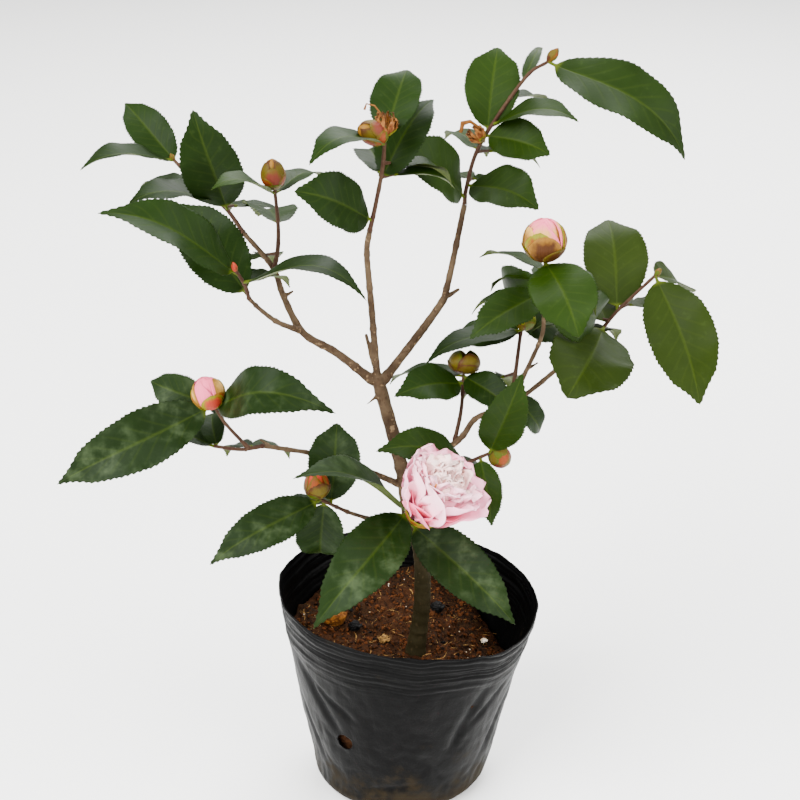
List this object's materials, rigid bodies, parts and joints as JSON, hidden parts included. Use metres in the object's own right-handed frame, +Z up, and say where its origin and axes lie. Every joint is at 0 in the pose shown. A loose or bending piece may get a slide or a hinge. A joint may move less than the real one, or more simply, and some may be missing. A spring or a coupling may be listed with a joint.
{
  "type": "potted camellia shrub",
  "caption": "Young evergreen camellia with glossy toothed leaves, fat buds and a double pale pink bloom, growing in a soft black nursery bag of soil.",
  "frame": {"origin": "centre of the nursery bag's flat underside", "axes": "+Z up, +X to the plant's right as seen from its front, -Y towards its front, where the open bloom faces"},
  "size_m": [0.3489, 0.191, 0.425],
  "materials": {
    "bag": "black film, semi-gloss, creased",
    "soil": "moist red-brown potting mix, matt",
    "bark": "thin tan-brown bark, matt",
    "leaf": "leathery, glossy above",
    "bloom": "soft petals, satin"
  },
  "bodies": {
    "root": {"nursery-bag": "bag", "soil": "soil", "trunk": "bark", "bough-upper-left": "bark", "bough-far-left": "bark", "bough-centre": "bark", "bough-upper-right": "bark", "bough-lower-right": "bark", "bough-right-upright": "bark", "bough-lower-left": "bark", "bough-low-front": "bark", "foliage-far-left": "leaf", "foliage-left-bud": "leaf", "foliage-rear-left": "leaf", "foliage-top-centre": "leaf", "foliage-upper-right": "leaf", "foliage-right-end": "leaf", "foliage-right-bud": "leaf", "foliage-middle-bud": "leaf", "foliage-open-bud": "leaf", "foliage-behind-bloom": "leaf", "foliage-low-front": "leaf", "foliage-lower-left": "leaf", "bloom-spray": "bloom"}
  },
  "joints": []
}
